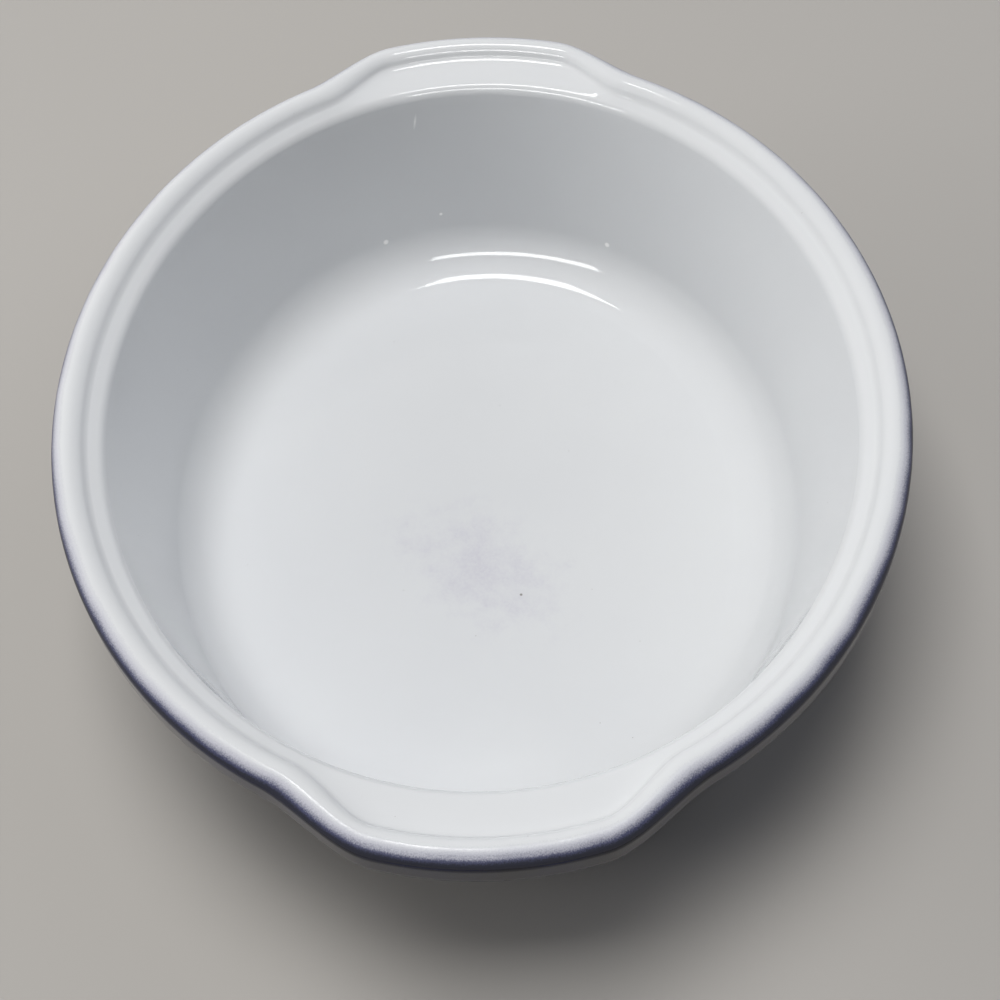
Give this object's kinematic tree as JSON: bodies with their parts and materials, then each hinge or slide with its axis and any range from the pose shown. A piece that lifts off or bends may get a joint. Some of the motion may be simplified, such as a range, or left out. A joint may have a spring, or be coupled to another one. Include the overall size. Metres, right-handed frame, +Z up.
{
  "type": "oval baking dish",
  "caption": "Oval stoneware baking dish with a raised lip, a lug handle at each end, a white glazed inside and a dark blue glazed outside, standing on a dry foot ring.",
  "frame": {"origin": "centre of the dish on the surface that it stands on, level with the sole of the foot ring", "axes": "+Z up out of the bowl, +Y along the long way towards the back lug, +X to the right across the short way"},
  "size_m": [0.2422, 0.2896, 0.081],
  "materials": {
    "fired_stoneware": "matt, unglazed, fine sandy clay",
    "white_glaze": "glossy white liner glaze",
    "dark_blue_glaze": "glossy, very dark blue glaze"
  },
  "bodies": {
    "root": {"stoneware_body": "fired_stoneware", "white_liner_glaze": "white_glaze", "blue_wall_glaze": "dark_blue_glaze", "blue_base_glaze": "dark_blue_glaze"}
  },
  "joints": []
}
